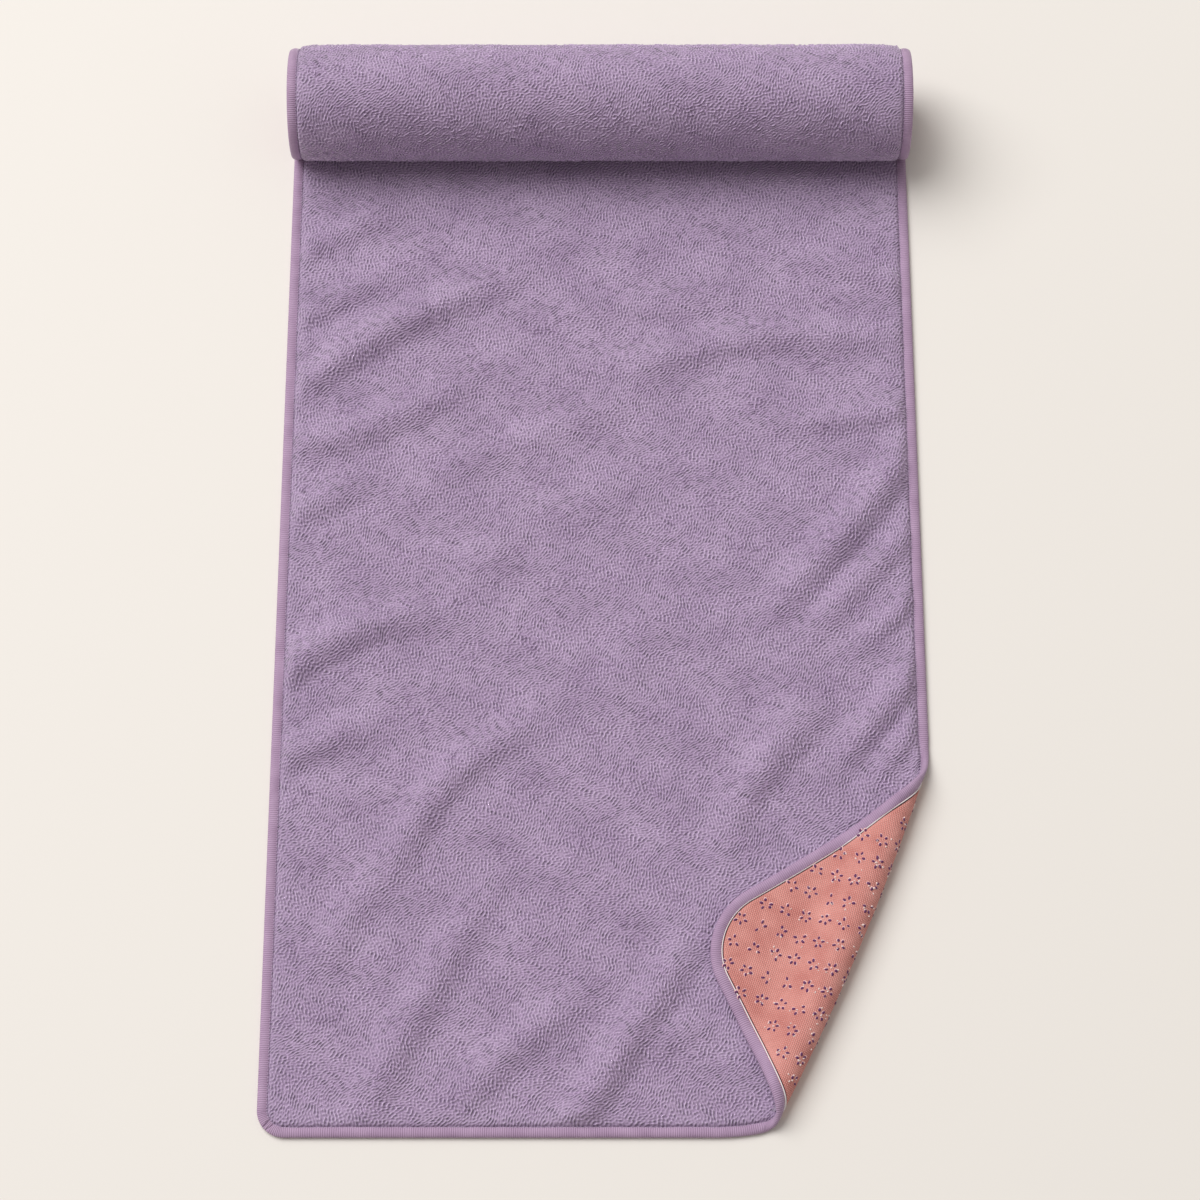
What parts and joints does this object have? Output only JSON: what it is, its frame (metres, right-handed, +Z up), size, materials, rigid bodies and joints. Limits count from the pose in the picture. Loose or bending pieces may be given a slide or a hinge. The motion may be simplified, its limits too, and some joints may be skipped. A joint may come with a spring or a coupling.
{
  "type": "rolled yoga towel",
  "caption": "Terry yoga towel lying flat with its far end wound into a roll and one front corner turned over to show the grip side.",
  "frame": {"origin": "on the floor under the middle of the part's box", "axes": "+X across the towel to the turned corner's side, +Y from the front edge to the roll, +Z up"},
  "size_m": [0.61, 1.076, 0.107],
  "materials": {
    "terry": "matte looped terry pile, lilac",
    "grip": "matte fine weave, coral, with raised dots",
    "binding": "soft sheen ribbed tape, lilac"
  },
  "bodies": {
    "root": {"terry_face": "terry", "grip_backing": "grip", "edge_binding": "binding", "rolled_end": "terry"}
  },
  "joints": []
}
